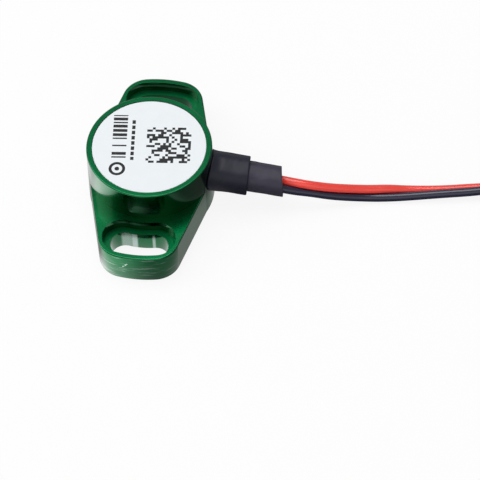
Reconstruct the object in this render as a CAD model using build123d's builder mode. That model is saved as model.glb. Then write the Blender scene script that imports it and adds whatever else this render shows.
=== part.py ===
from build123d import *

import math
import os

import numpy

# Contactless angle sensor: a small anodised puck on a flange with two slotted ears,
# two shrink sleeves over its cable exit, and two flying leads.
# Millimetres. The origin is on the sensing axis, in the plane of the mounting face.
# +Z points up through the label, the ears lie along Y and the leads leave along +X.

# Housing
body_radius = 5.95
body_height = 6.6
flange_thickness = 3.2
ear_end_radius = 10.75
ear_corner_radius = 2.5
flank_angle = 14.7
waist_inset = 0.05
edge_break = 0.12

# Ear slots, curved about the sensing axis so that the sensor can be turned to its zero
slot_centre_radius = 8.35
slot_width = 2.6
slot_swing = 10.0
pocket_width = 3.8
pocket_swing = 11.0
pocket_depth = 1.15

# Cavity, open towards the mounting face
cavity_radius = 4.1
cavity_roof = 5.4
board_bore_radius = 4.6
cover_seat_radius = 5.0

# Label
label_radius = 5.4
label_thickness = 0.1
label_recess = 0.15

# Cover, board and what the board carries
seat_clearance = 0.05
fill_clearance = 0.02
cover_thickness = 0.6
board_thickness = 0.6
board_top = 2.5
board_notch_radius = 0.9
chip_length = 4.4
chip_width = 3.0
chip_thickness = 0.9
chip_standoff = 0.1
lead_count = 4
lead_pitch = 0.65
lead_width = 0.3
lead_thickness = 0.13
lead_shoulder = 0.3
lead_reach = 1.0
small_case_length = 1.6
small_case_width = 0.8
terminal_length = 0.3
capacitor_height = 0.8
capacitor_x = -1.9
capacitor_y = 1.3
resistor_height = 0.45
resistor_x = -3.2
diode_length = 1.7
diode_width = 1.25
diode_height = 0.9
diode_terminal_height = 0.3
diode_x = -0.2
pad_x = 1.95
pad_y = 1.1
solder_base_radius = 0.55
solder_top_radius = 0.35
solder_height = 0.55

# Cable exit: a pressed ferrule and two shrink sleeves on one axis that dips outwards
exit_height = 3.69
exit_dip = 7.2
ferrule_radius = 1.3
ferrule_bore_radius = 0.95
ferrule_embed = 1.35
ferrule_reach = 1.3
barrel_gap = 0.3
sleeve_gap = 0.08
saddle_gap = 0.03
large_sleeve_reach = 3.38
large_sleeve_wrap = 0.6
large_sleeve_base_radius = 1.89
large_sleeve_end_radius = 1.8
small_sleeve_length = 5.2
small_sleeve_start_radius = 1.45
small_sleeve_end_radius = 1.38
small_sleeve_bore_radius = 1.21
sleeve_lip_round = 0.1
adhesive_recess = 0.25

# Leads
wire_diameter = 0.82
core_diameter = 0.48
wire_offset = 0.44
core_corner_height = 4.0
strip_length = 1.3
fan_out = -1.9
swerve_start = 1.6
mouth_run = 2.4
tip_length = 4.0

# Put-away coil: both leads wound as one, the black one on the red
coil_mean_radius = 4.5
turn_pitch = 1.3
layer_pitch = 0.88
turns_per_layer = 2.75
reversal_turns = 0.5

# Tie round the coil
tie_width = 1.3
tie_thickness = 0.2
tie_clearance = 0.15
tie_corner_radius = 0.4
tie_turn = 0.4
tie_head_length = 1.8
tie_head_height = 0.9

# Sizes that follow
wire_radius = wire_diameter / 2
core_radius = core_diameter / 2
board_bottom = board_top - board_thickness
recess_floor = body_height - label_recess
coil_lift = tie_thickness + tie_clearance
red_coil_height = coil_lift + wire_radius
black_coil_height = red_coil_height + layer_pitch
coil_outer_radius = coil_mean_radius + turn_pitch * turns_per_layer / 2
coil_inner_radius = coil_mean_radius - turn_pitch * turns_per_layer / 2
coil_turns = 2 * turns_per_layer + reversal_turns
small_sleeve_start = ferrule_reach + sleeve_gap

# Routes of the free leads, from the sleeve's mouth to the coil, chosen by hand
red_route = [
    (12.48, 0.24, 2.70),
    (14.60, 0.24, 2.43),
    (17.40, 0.65, 1.64),
    (20.60, 1.42, 0.84),
    (24.00, 2.02, 0.64),
    (27.40, 2.51, 0.50),
    (30.80, 3.05, 0.42),
    (34.10, 3.42, 0.46),
    (36.90, 3.72, red_coil_height),
    (39.20, 4.21, red_coil_height),
]
black_route = [
    (12.48, -0.64, 2.54),
    (14.60, -0.64, 2.27),
    (17.40, -0.23, 1.46),
    (20.60, 0.55, 0.61),
    (24.00, 1.14, 0.42),
    (27.40, 1.61, 0.60),
    (30.80, 2.25, 0.83),
    (34.10, 2.92, 1.28),
    (36.90, 3.72, black_coil_height),
    (39.20, 4.21, black_coil_height),
]

exit_direction = Vector(math.cos(math.radians(exit_dip)), 0, -math.sin(math.radians(exit_dip)))
exit_plane = Plane(origin=(body_radius, 0, exit_height), x_dir=(0, 1, 0), z_dir=exit_direction)
exit_side = Plane(origin=exit_plane.origin, x_dir=exit_direction, z_dir=(0, -1, 0))
exit_axis = Axis(exit_plane.origin, exit_direction)

os.makedirs("parts", exist_ok=True)


def finish(builder, name):
    """Labels a finished piece and writes it to its file."""
    builder.part.label = name
    export_step(builder.part, f"parts/{name}.step")


def on_exit(along, across):
    """The point at a distance along the exit axis and another across it, towards +Y."""
    return exit_side.from_local_coords(Vector(along, 0, -across))


def bend_radii(points):
    """For each corner of a route, 0.45 of its shorter run over the tangent of half its turn."""
    radii = []
    for before, here, after in zip(points, points[1:], points[2:]):
        run = min((here - before).length, (after - here).length)
        half_turn = math.radians((here - before).get_angle(after - here)) / 2
        radii.append(0.45 * run / math.tan(half_turn))
    return radii


def tube(corners, radius, name=None):
    """A round tube on straight runs joined by tangent arcs. With a name, its figures are printed."""
    points = [Vector(corner) for corner in corners]
    with BuildPart() as piece:
        with BuildLine() as path:
            FilletPolyline(*points, radius=bend_radii(points))
        line = path.wire()
        with BuildSketch(Plane(origin=line @ 0, z_dir=line % 0)):
            Circle(radius)
        sweep()
    if name:
        bends = ", ".join(f"{bend:.1f}" for bend in bend_radii(points))
        expected = math.pi * radius**2 * line.length
        print(f"{name}: length {line.length:.2f}, volume {piece.part.volume / expected:.4f} of expected")
        print(f"{name}: bend radii {bends}")
    return piece


# Housing: flange, puck, ear slots with their screw pockets, label recess, cavity and exit
corner_reach = ear_end_radius - ear_corner_radius
waist_radius = body_radius - waist_inset
flank_reach = math.degrees(math.acos((waist_radius - ear_corner_radius) / corner_reach))
corner_angle = flank_angle + flank_reach
corner_centre = Vector(corner_reach, 0).rotate(Axis.Z, corner_angle)
flank_start = Vector(waist_radius, 0).rotate(Axis.Z, flank_angle)
flank_end = corner_centre + Vector(ear_corner_radius, 0).rotate(Axis.Z, flank_angle)
slot_path = CenterArc((0, 0), slot_centre_radius, 90 - slot_swing, 2 * slot_swing)
pocket_path = CenterArc((0, 0), slot_centre_radius, 90 - pocket_swing, 2 * pocket_swing)

with BuildPart() as housing:
    with BuildSketch():
        with BuildLine():
            CenterArc((0, 0), waist_radius, 0, flank_angle)
            Line(flank_start, flank_end)
            CenterArc(corner_centre, ear_corner_radius, flank_angle, flank_reach)
            CenterArc((0, 0), ear_end_radius, corner_angle, 90 - corner_angle)
            mirror(about=Plane.YZ)
            mirror(about=Plane.XZ)
        make_face()
    extrude(amount=flange_thickness)
    chamfer(housing.edges().group_by(Axis.Z)[-1], edge_break)
    with BuildSketch():
        Circle(body_radius)
    extrude(amount=body_height)
    chamfer(housing.faces().sort_by(Axis.Z)[0].edges(), edge_break)
    chamfer(housing.faces().sort_by(Axis.Z)[-1].edges(), edge_break)
    with BuildSketch(Plane.XY.offset(flange_thickness)):
        SlotArc(pocket_path, pocket_width)
        mirror(about=Plane.XZ)
    extrude(amount=-pocket_depth, mode=Mode.SUBTRACT)
    with BuildSketch():
        SlotArc(slot_path, slot_width)
        mirror(about=Plane.XZ)
    extrude(amount=flange_thickness, mode=Mode.SUBTRACT)
    with BuildSketch(Plane.XY.offset(recess_floor)):
        Circle(label_radius + seat_clearance)
    extrude(amount=label_recess, mode=Mode.SUBTRACT)
    with BuildSketch():
        Circle(cover_seat_radius)
    extrude(amount=cover_thickness, mode=Mode.SUBTRACT)
    with BuildSketch():
        Circle(board_bore_radius)
    extrude(amount=board_top, mode=Mode.SUBTRACT)
    with BuildSketch():
        Circle(cavity_radius)
    extrude(amount=cavity_roof, mode=Mode.SUBTRACT)
    with BuildSketch(exit_plane.offset(-ferrule_embed)):
        Circle(ferrule_radius + fill_clearance)
    extrude(amount=ferrule_embed + ferrule_reach, mode=Mode.SUBTRACT)
    with BuildSketch(exit_plane.offset(-ferrule_embed)):
        Circle(ferrule_bore_radius)
    extrude(amount=cavity_radius - body_radius, mode=Mode.SUBTRACT)
finish(housing, "housing")

# Cover let into the mounting face and bonded there
with BuildPart() as base_cover:
    with BuildSketch():
        Circle(cover_seat_radius - seat_clearance)
    extrude(amount=cover_thickness)
    chamfer(base_cover.faces().sort_by(Axis.Z)[0].edges(), edge_break)
finish(base_cover, "base_cover")

# Round label in the recess on top
with BuildPart() as face_label:
    with BuildSketch(Plane.XY.offset(recess_floor)):
        Circle(label_radius)
    extrude(amount=label_thickness)
finish(face_label, "face_label")

# Board against the ledge of the cavity, with two notches that the filling runs through
with BuildPart() as circuit_board:
    with BuildSketch(Plane.XY.offset(board_bottom)):
        Circle(board_bore_radius - seat_clearance)
        with PolarLocations(board_bore_radius - seat_clearance, 2, start_angle=90):
            Circle(board_notch_radius, mode=Mode.SUBTRACT)
    extrude(amount=board_thickness)
finish(circuit_board, "circuit_board")

# Sensing chip under the board, centred on the axis and facing the magnet
chip_top = board_bottom - chip_standoff
chip_middle = chip_top - chip_thickness / 2
with BuildPart() as hall_chip:
    with BuildSketch(Plane.XY.offset(chip_top)):
        Rectangle(chip_length, chip_width)
    extrude(amount=-chip_thickness)
finish(hall_chip, "hall_chip")

# Its leads, bent up from both sides to the pads under the board
riser_x = chip_length / 2 + lead_shoulder
foot_x = chip_length / 2 + lead_reach
stub_bottom = chip_middle - lead_thickness / 2
lead_profile = [
    (chip_length / 2, stub_bottom),
    (riser_x + lead_thickness, stub_bottom),
    (riser_x + lead_thickness, board_bottom - lead_thickness),
    (foot_x, board_bottom - lead_thickness),
    (foot_x, board_bottom),
    (riser_x, board_bottom),
    (riser_x, stub_bottom + lead_thickness),
    (chip_length / 2, stub_bottom + lead_thickness),
]
with BuildPart() as hall_chip_leads:
    for index in range(lead_count):
        lead_y = (index - (lead_count - 1) / 2) * lead_pitch
        with BuildSketch(Plane.XZ.offset(lead_y)):
            with BuildLine():
                Polyline(*lead_profile, close=True)
            make_face()
            mirror(about=Plane.YZ)
        extrude(amount=lead_width / 2, both=True)
finish(hall_chip_leads, "hall_chip_leads")

# Small parts on top of the board
capacitor_places = [(capacitor_x, capacitor_y), (capacitor_x, -capacitor_y)]
small_body_length = small_case_length - 2 * terminal_length
terminal_span = small_case_length - terminal_length
with BuildPart() as bypass_capacitors:
    with BuildSketch(Plane.XY.offset(board_top)):
        with Locations(*capacitor_places):
            Rectangle(small_body_length, small_case_width)
    extrude(amount=capacitor_height)
finish(bypass_capacitors, "bypass_capacitors")

with BuildPart() as sense_resistor:
    with BuildSketch(Plane.XY.offset(board_top)):
        with Locations((resistor_x, 0)):
            Rectangle(small_case_width, small_body_length)
    extrude(amount=resistor_height)
finish(sense_resistor, "sense_resistor")

with BuildPart() as protection_diode:
    with BuildSketch(Plane.XY.offset(board_top)):
        with Locations((diode_x, 0)):
            Rectangle(diode_width, diode_length)
    extrude(amount=diode_height)
finish(protection_diode, "protection_diode")

with BuildPart() as component_terminals:
    with BuildSketch(Plane.XY.offset(board_top)):
        with Locations(*capacitor_places):
            with GridLocations(terminal_span, 0, 2, 1):
                Rectangle(terminal_length, small_case_width)
    extrude(amount=capacitor_height)
    with BuildSketch(Plane.XY.offset(board_top)):
        with Locations((resistor_x, 0)):
            with GridLocations(0, terminal_span, 1, 2):
                Rectangle(small_case_width, terminal_length)
    extrude(amount=resistor_height)
    with BuildSketch(Plane.XY.offset(board_top)):
        with Locations((diode_x, 0)):
            with GridLocations(0, diode_length + terminal_length, 1, 2):
                Rectangle(small_case_width, terminal_length)
    extrude(amount=diode_terminal_height)
finish(component_terminals, "component_terminals")

# Ferrule pressed into the side wall, with a wider barrel outside it for the sleeves
barrel_radius = small_sleeve_start_radius
with BuildPart() as cable_ferrule:
    with BuildSketch(exit_plane.offset(-ferrule_embed)):
        Circle(ferrule_radius)
    extrude(amount=ferrule_embed + ferrule_reach)
    with BuildSketch(exit_plane.offset(barrel_gap)):
        Circle(barrel_radius)
    extrude(amount=ferrule_reach - barrel_gap)
    with BuildSketch(exit_plane.offset(-ferrule_embed)):
        Circle(ferrule_bore_radius)
    extrude(amount=ferrule_embed + ferrule_reach, mode=Mode.SUBTRACT)
finish(cable_ferrule, "cable_ferrule")

# Large sleeve, shrunk over the barrel and hugging the puck
with BuildPart() as large_heat_shrink:
    with BuildSketch(exit_side) as large_profile:
        with BuildLine():
            Polyline(
                (-large_sleeve_wrap, barrel_radius + fill_clearance),
                (large_sleeve_reach, barrel_radius + fill_clearance),
                (large_sleeve_reach, large_sleeve_end_radius),
                (-large_sleeve_wrap, large_sleeve_base_radius),
                close=True,
            )
        make_face()
        fillet(large_profile.vertices().group_by(Axis.X)[-1].sort_by(Axis.Y)[-1], sleeve_lip_round)
    revolve(axis=exit_axis)
    with BuildSketch():
        Circle(body_radius + saddle_gap)
    extrude(amount=body_height, mode=Mode.SUBTRACT)
finish(large_heat_shrink, "large_heat_shrink")

# Small sleeve, from the ferrule's end out to the mouth
small_sleeve_end = small_sleeve_start + small_sleeve_length
with BuildPart() as small_heat_shrink:
    with BuildSketch(exit_side) as small_profile:
        with BuildLine():
            Polyline(
                (small_sleeve_start, small_sleeve_bore_radius),
                (small_sleeve_end, small_sleeve_bore_radius),
                (small_sleeve_end, small_sleeve_end_radius),
                (small_sleeve_start, small_sleeve_start_radius),
                close=True,
            )
        make_face()
        fillet(small_profile.vertices().group_by(Axis.X)[-1].sort_by(Axis.Y)[-1], sleeve_lip_round)
    revolve(axis=exit_axis)
finish(small_heat_shrink, "small_heat_shrink")

# Leads inside the sensor: insulated from the mouth to the strip point, then bare to the pad
solder_cutters = []
wire_cutters = []
for name, side, route in (("red", 1, red_route), ("black", -1, black_route)):
    mouth = Vector(route[0])
    mouth_direction = (Vector(route[1]) - mouth).normalized()
    fan_point = on_exit(fan_out, side * wire_offset)
    core_corner = Vector(pad_x, side * pad_y, core_corner_height)
    strip_point = core_corner + (fan_point - core_corner).normalized() * strip_length
    inner_route = [
        strip_point,
        fan_point,
        on_exit(swerve_start, side * wire_offset),
        mouth - mouth_direction * mouth_run,
        mouth,
    ]
    core_route = [strip_point, core_corner, (pad_x, side * pad_y, board_top)]
    finish(tube(inner_route, wire_radius, f"{name}_wire_inner"), f"{name}_wire_inner")
    finish(tube(core_route, core_radius, f"{name}_wire_core"), f"{name}_wire_core")
    wire_cutters.append(tube(inner_route, wire_radius + fill_clearance))
    wire_cutters.append(tube(core_route, core_radius + fill_clearance))


def solder_cones(clearance):
    """The two solder joints, grown by a clearance, round the bare ends of the leads."""
    with BuildPart() as cones:
        for side in (1, -1):
            with BuildSketch(Plane.XZ.offset(side * pad_y)):
                with BuildLine():
                    Polyline(
                        (pad_x, board_top),
                        (pad_x + solder_base_radius + clearance, board_top),
                        (pad_x + solder_top_radius + clearance, board_top + solder_height + clearance),
                        (pad_x, board_top + solder_height + clearance),
                        close=True,
                    )
                make_face()
            revolve(axis=Axis((pad_x, -side * pad_y, 0), (0, 0, 1)))
    return cones


# Solder joints on the pads, with the cores standing in them
with BuildPart() as solder_joints:
    add(solder_cones(0).part)
    for cutter in wire_cutters:
        add(cutter.part, mode=Mode.SUBTRACT)
finish(solder_joints, "solder_joints")

# Filling of the cavity, under and over the board and through its notches
with BuildPart() as potting_compound:
    with BuildSketch(Plane.XY.offset(cover_thickness)):
        Circle(board_bore_radius - fill_clearance)
    extrude(amount=board_bottom - cover_thickness)
    with BuildSketch(Plane.XY.offset(board_bottom)):
        Circle(board_bore_radius - seat_clearance)
        with PolarLocations(board_bore_radius - seat_clearance, 2, start_angle=90):
            Circle(board_notch_radius - fill_clearance, mode=Mode.INTERSECT)
    extrude(amount=board_thickness)
    with BuildSketch(Plane.XY.offset(board_top)):
        Circle(cavity_radius - fill_clearance)
    extrude(amount=cavity_roof - board_top)
    for held in (hall_chip, hall_chip_leads, bypass_capacitors, sense_resistor, protection_diode):
        add(held.part, mode=Mode.SUBTRACT)
    add(component_terminals.part, mode=Mode.SUBTRACT)
    add(solder_cones(fill_clearance).part, mode=Mode.SUBTRACT)
    for cutter in wire_cutters:
        add(cutter.part, mode=Mode.SUBTRACT)
finish(potting_compound, "potting_compound")

# Adhesive that the small sleeve is lined with, set round the two leads
adhesive_start = small_sleeve_start
adhesive_length = small_sleeve_length - adhesive_recess
with BuildPart() as sleeve_adhesive:
    with BuildSketch(exit_plane.offset(adhesive_start)):
        Circle(small_sleeve_bore_radius - fill_clearance)
    extrude(amount=adhesive_length)
    for cutter in wire_cutters:
        add(cutter.part, mode=Mode.SUBTRACT)
finish(sleeve_adhesive, "sleeve_adhesive")

# Free leads
finish(tube(red_route, wire_radius, "red_wire"), "red_wire")
finish(tube(black_route, wire_radius, "black_wire"), "black_wire")

# Coil: each lead spirals in, turns round while it climbs, and spirals out above itself
coil_heading = Vector(red_route[-1]) - Vector(red_route[-2])
spiral_tilt = math.degrees(math.atan(turn_pitch / (math.tau * coil_outer_radius)))
start_angle = math.degrees(math.atan2(coil_heading.Y, coil_heading.X)) - 90 - spiral_tilt
winding_start = Vector(red_route[-1]) + coil_heading.normalized() * wire_diameter
coil_centre = winding_start - Vector(coil_outer_radius, 0, 0).rotate(Axis.Z, start_angle)


def coil_radius(turn):
    """How far from the coil's centre a lead runs after a number of turns."""
    back = turn - turns_per_layer
    if back <= 0:
        return coil_outer_radius - turn_pitch * turn
    if back < reversal_turns:
        return coil_inner_radius - turn_pitch * back * (1 - back / reversal_turns)
    return coil_inner_radius + turn_pitch * (back - reversal_turns)


def coil_climb(turn):
    """How far a lead has climbed by then: nothing before the reversal, all of it after."""
    share = min(max((turn - turns_per_layer) / reversal_turns, 0), 1)
    return 2 * layer_pitch * share**2 * (3 - 2 * share)


def coil_point(turn, height):
    """The centre line's point after a number of turns, for a lead that starts at a height."""
    spoke = Vector(coil_radius(turn), 0, height + coil_climb(turn))
    angle = start_angle + 360 * turn
    return Vector(coil_centre.X, coil_centre.Y, 0) + spoke.rotate(Axis.Z, angle)


def coil_direction(turn, height):
    """The centre line's direction there."""
    step = 0.0005
    return (coil_point(turn + step, height) - coil_point(turn - step, height)).normalized()


def biarc(start, start_direction, end, end_direction):
    """Two tangent arcs from one point and direction to another."""
    chord = end - start
    turned = start_direction + end_direction
    spread = 2 * (1 - start_direction.dot(end_direction))
    reach = (math.sqrt(chord.dot(turned) ** 2 + 2 * spread * chord.dot(chord)) - chord.dot(turned)) / spread
    first_corner = start + start_direction * reach / 2
    last_corner = end - end_direction * reach / 2
    middle = (first_corner + last_corner) / 2
    TangentArc(start, middle, tangent=start_direction)
    TangentArc(middle, end, tangent=last_corner - first_corner)


def coil(height, name):
    """One lead's coil, its straight ends one diameter long, with its least gap to itself printed."""
    quarters = round(coil_turns * 4)
    first = coil_point(0, height)
    last = coil_point(coil_turns, height)
    with BuildPart() as piece:
        with BuildLine() as path:
            Line(first - coil_direction(0, height) * wire_diameter, first)
            for quarter in range(quarters):
                turn = coil_turns * quarter / quarters
                after = coil_turns * (quarter + 1) / quarters
                biarc(
                    coil_point(turn, height),
                    coil_direction(turn, height),
                    coil_point(after, height),
                    coil_direction(after, height),
                )
            Line(last, last + coil_direction(coil_turns, height) * wire_diameter)
        line = path.wire()
        with BuildSketch(Plane(origin=line @ 0, z_dir=line % 0)):
            Circle(wire_radius)
        sweep()
    samples = 1600
    points = numpy.array([tuple(line @ (index / samples)) for index in range(samples + 1)])
    spacing = line.length / samples
    apart = int(4 * wire_diameter / spacing)
    gaps = [
        numpy.linalg.norm(points[index + apart :] - points[index], axis=1).min()
        for index in range(samples - apart)
    ]
    expected = math.pi * wire_radius**2 * line.length
    print(f"{name}: least gap to itself {min(gaps) - wire_diameter:.3f}")
    print(f"{name}: length {line.length:.2f}, volume {piece.part.volume / expected:.4f} of expected")
    finish(piece, name)


for name, height in (("red", red_coil_height), ("black", black_coil_height)):
    coil(height, f"{name}_wire_coil")
    tail_direction = coil_direction(coil_turns, height)
    tail_end = coil_point(coil_turns, height) + tail_direction * wire_diameter
    with BuildPart() as wire_tip:
        with BuildSketch(Plane(origin=tail_end, z_dir=tail_direction)):
            Circle(core_radius)
        extrude(amount=tip_length)
    finish(wire_tip, f"{name}_wire_tip")

# Tie round the coil's section, flat under it and with its head outside
tie_angle = start_angle + 360 * tie_turn
tie_plane = Plane(
    origin=(coil_centre.X, coil_centre.Y, 0),
    x_dir=Vector(1, 0, 0).rotate(Axis.Z, tie_angle),
    z_dir=Vector(0, -1, 0).rotate(Axis.Z, tie_angle),
)
tie_radii = [coil_radius(tie_turn + turn) for turn in range(int(coil_turns))]
tie_inner_reach = min(tie_radii) - wire_radius - tie_clearance
tie_outer_reach = max(tie_radii) + wire_radius + tie_clearance
tie_opening_height = 3 * layer_pitch + wire_diameter + 2 * tie_clearance
tie_opening_width = tie_outer_reach - tie_inner_reach
tie_middle = (tie_inner_reach + tie_outer_reach) / 2
with BuildPart() as coil_tie:
    with BuildSketch(tie_plane):
        with Locations((tie_middle, tie_thickness + tie_opening_height / 2)):
            RectangleRounded(
                tie_opening_width + 2 * tie_thickness,
                tie_opening_height + 2 * tie_thickness,
                tie_corner_radius + tie_thickness,
            )
            RectangleRounded(tie_opening_width, tie_opening_height, tie_corner_radius, mode=Mode.SUBTRACT)
    extrude(amount=tie_width / 2, both=True)
    with BuildSketch(tie_plane):
        with Locations((tie_outer_reach + tie_thickness, tie_thickness + tie_opening_height / 2)):
            Rectangle(tie_head_height, tie_head_length, align=(Align.MIN, Align.CENTER))
    extrude(amount=tie_width / 2, both=True)
finish(coil_tie, "coil_tie")
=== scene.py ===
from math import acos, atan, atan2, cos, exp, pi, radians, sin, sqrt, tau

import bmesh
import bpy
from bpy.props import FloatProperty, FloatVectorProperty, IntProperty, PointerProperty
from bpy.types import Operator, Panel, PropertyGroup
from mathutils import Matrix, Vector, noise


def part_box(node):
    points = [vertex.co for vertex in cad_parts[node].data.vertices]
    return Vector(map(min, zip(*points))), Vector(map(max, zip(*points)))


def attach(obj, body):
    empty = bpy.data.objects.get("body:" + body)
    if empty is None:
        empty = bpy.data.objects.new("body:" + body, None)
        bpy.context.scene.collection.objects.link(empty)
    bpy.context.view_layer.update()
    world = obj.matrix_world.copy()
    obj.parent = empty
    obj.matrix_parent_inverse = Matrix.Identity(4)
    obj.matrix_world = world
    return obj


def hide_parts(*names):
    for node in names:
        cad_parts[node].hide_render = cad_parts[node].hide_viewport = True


bl_info = {
    "name": "Angle Sensor Puck",
    "version": (1, 0, 0),
    "blender": (4, 5, 0),
    "location": "View3D > Sidebar > Sensor",
    "description": "Builds a miniature contactless angle sensor with its sleeves and flying leads",
    "category": "Add Mesh",
}

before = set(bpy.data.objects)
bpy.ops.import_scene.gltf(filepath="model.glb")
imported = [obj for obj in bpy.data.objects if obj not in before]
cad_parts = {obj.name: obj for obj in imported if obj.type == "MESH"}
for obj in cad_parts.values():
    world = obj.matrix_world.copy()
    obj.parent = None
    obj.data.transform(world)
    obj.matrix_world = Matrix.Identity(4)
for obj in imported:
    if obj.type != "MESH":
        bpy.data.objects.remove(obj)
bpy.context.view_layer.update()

MM = 0.001
ABOUT_Z = Vector((0, 0, 1))
CENTRE = (0, 0, 0)
WELD = MM / 2000  # how close points are merged in a finished piece
NEAR = MM / 1000  # and in an outline being drawn
SHARP = 1  # radians between two faces, past which their edge counts as sharp
BELOW, ABOVE = -1 * MM, 8 * MM  # heights where through cuts begin and end


def length(name, description, default):
    """A length that a user may set, given here in millimetres."""
    return FloatProperty(
        name=name, description=description, default=default * MM, unit="LENGTH", precision=5
    )


def angle(name, description, degrees):
    """An angle that a user may set, given here in degrees."""
    return FloatProperty(name=name, description=description, default=radians(degrees), unit="ROTATION")


def number(name, description, default):
    """A plain number that a user may set."""
    return FloatProperty(name=name, description=description, default=default)


def colour(name, description, default):
    """A linear colour that a user may set."""
    return FloatVectorProperty(name=name, description=description, default=default, subtype="COLOR")


# Sizes and colours that a user would change


class HousingSettings(PropertyGroup):
    body_radius: length("Body radius", "Radius of the round puck", 5.95)
    body_height: length("Body height", "Height from the mounting face to the rim", 6.6)
    flange_thickness: length("Flange thickness", "Thickness of the ears", 3.2)
    waist_radius: length("Waist radius", "Radius that the flanks are tangent to", 5.9)
    end_radius: length("End radius", "Radius of the ears' ends about the axis", 10.75)
    corner_radius: length("Corner radius", "Radius of the ears' corners", 2.5)
    flank_angle: angle("Flank angle", "Angle of the flanks to the long axis", 14.7)
    slot_radius: length("Slot radius", "Radius of the slots' middle line", 8.35)
    slot_width: length("Slot width", "Width of the through slots", 2.6)
    slot_swing: angle("Slot swing", "Half the angle between a slot's end centres", 10)
    pocket_width: length("Pocket width", "Width of the screw pockets", 3.8)
    pocket_swing: angle("Pocket swing", "Half the angle between a pocket's end centres", 11)
    pocket_depth: length("Pocket depth", "Depth of the screw pockets", 1.15)
    recess_radius: length("Recess radius", "Radius of the label's recess", 5.45)
    recess_depth: length("Recess depth", "Depth of the label's recess", 0.15)
    edge_break: length("Edge break", "Width of the rounding along outer edges", 0.12)
    fine_break: length("Fine edge break", "Width of the rounding along the cut-outs", 0.07)
    metal: colour("Dye", "Colour of the anodised metal", (0.002, 0.16, 0.05))


class LabelSettings(PropertyGroup):
    radius: length("Radius", "Radius of the label", 5.4)
    thickness: length("Thickness", "Thickness of the film", 0.1)
    film: colour("Film", "Colour of the bare film", (0.865, 0.905, 0.935))
    ink: colour("Ink", "Colour of the print", (0.004, 0.004, 0.006))


class SleeveSettings(PropertyGroup):
    # Starts and ends lie along the exit axis, measured from the puck's wall
    exit_height: length("Exit height", "Height of the exit axis at the puck's wall", 3.69)
    exit_dip: angle("Exit dip", "How far the exit axis points down", 7.2)
    large_start: length("Large sleeve start", "Where the large sleeve starts", -0.6)
    large_reach: length("Large sleeve reach", "Where the large sleeve ends", 3.38)
    large_radius: length("Large sleeve radius", "Outer radius at the puck", 1.89)
    large_end_radius: length("Large sleeve end radius", "Outer radius at its end", 1.85)
    large_bore: length("Large sleeve bore", "Inner radius", 1.47)
    small_start: length("Small sleeve start", "Where the small sleeve starts", 1.38)
    small_reach: length("Small sleeve reach", "Where the small sleeve ends", 6.58)
    small_radius: length("Small sleeve radius", "Outer radius inside the large sleeve", 1.45)
    small_end_radius: length("Small sleeve end radius", "Outer radius at its end", 1.38)
    small_bore: length("Small sleeve bore", "Inner radius", 1.21)
    film: colour("Large sleeve", "Colour of the large shrunk sleeve", (0.008, 0.008, 0.024))
    small_film: colour("Small sleeve", "Colour of the small shrunk sleeve", (0.038, 0.035, 0.06))


class LeadSettings(PropertyGroup):
    diameter: length("Lead diameter", "Outer diameter of each lead", 0.82)
    free_length: length("Free length", "Length of each lead from the sleeve's mouth", 200)
    coil_radius: length("Coil radius", "Radius at the middle of the turns", 4.5)
    turn_pitch: length("Turn pitch", "Distance between turns side by side", 0.96)
    layer_pitch: length("Layer pitch", "Distance between turns on each other", 0.88)
    layer_turns: number("Turns a layer", "Turns in each layer", 2.75)
    reversal: number("Reversal", "Turns in which the spiral reverses", 0.5)
    steps: IntProperty(name="Points a turn", description="Control points in each turn", default=24)
    core_diameter: length("Core diameter", "Diameter of the bare strands", 0.48)
    tip_length: length("Tip length", "Length of the bare ends", 4)
    tie_turn: number("Tie place", "Turns from the coil's start to its tie", 0.4)
    tie_width: length("Tie width", "Width of the tie's strap", 1.3)
    tie_thickness: length("Tie thickness", "Thickness of the tie's strap", 0.2)
    red: colour("Red lead", "Colour of the red insulation", (0.99, 0.07, 0.05))
    black: colour("Black lead", "Colour of the black insulation", (0.015, 0.014, 0.042))


class StageSettings(PropertyGroup):
    elevation: angle("Elevation", "Height of the view above the horizon", 53.67)
    azimuth: angle("Azimuth", "Turn of the view about the vertical", 9.89)
    roll: angle("Roll", "Tilt of the picture", 3.2)
    distance: length("Distance", "Distance of the camera from the sensor", 500)
    aim_across: length("Aim across", "How far right of the axis the view is centred", 8.055)
    aim_up: length("Aim up", "How far up the picture the view is centred", -5.381)
    lens: number("Lens", "Focal length in millimetres on a 36 mm sensor", 394)


# Mesh helpers


def new_object(name, data):
    """A new object in the scene, at the origin."""
    made = bpy.data.objects.new(name, data)
    bpy.context.scene.collection.objects.link(made)
    return made


def finish_mesh(work, name):
    """Writes a bmesh to a new object at the origin, with its faces outwards and smooth."""
    bmesh.ops.remove_doubles(work, verts=work.verts, dist=WELD)
    bmesh.ops.recalc_face_normals(work, faces=work.faces)
    mesh = bpy.data.meshes.new(name)
    store(work, mesh)
    return new_object(name, mesh)


def store(work, mesh):
    """Writes a bmesh to a mesh, with smooth faces, and ends it."""
    for face in work.faces:
        face.smooth = True
    work.to_mesh(mesh)
    work.free()


def combine(made, other, operation):
    """Joins another object to this one, or cuts it out of it, and removes the other."""
    step = made.modifiers.new(operation.title(), "BOOLEAN")
    step.operation = operation
    step.object = other
    step.solver = "EXACT"
    graph = bpy.context.evaluated_depsgraph_get()
    mesh = bpy.data.meshes.new_from_object(made.evaluated_get(graph))
    made.modifiers.clear()
    made.data = mesh
    bpy.data.objects.remove(other)


def keep_flats_flat(made):
    """Makes normals follow the large faces, crisp where faces meet at a corner."""
    made.data.set_sharp_from_angle(angle=radians(38))
    step = made.modifiers.new("Flat faces", "WEIGHTED_NORMAL")
    step.weight = 100
    step.keep_sharp = True


def coat(made, material):
    """Gives a piece its one material."""
    made.data.materials.clear()
    made.data.materials.append(material)


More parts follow.
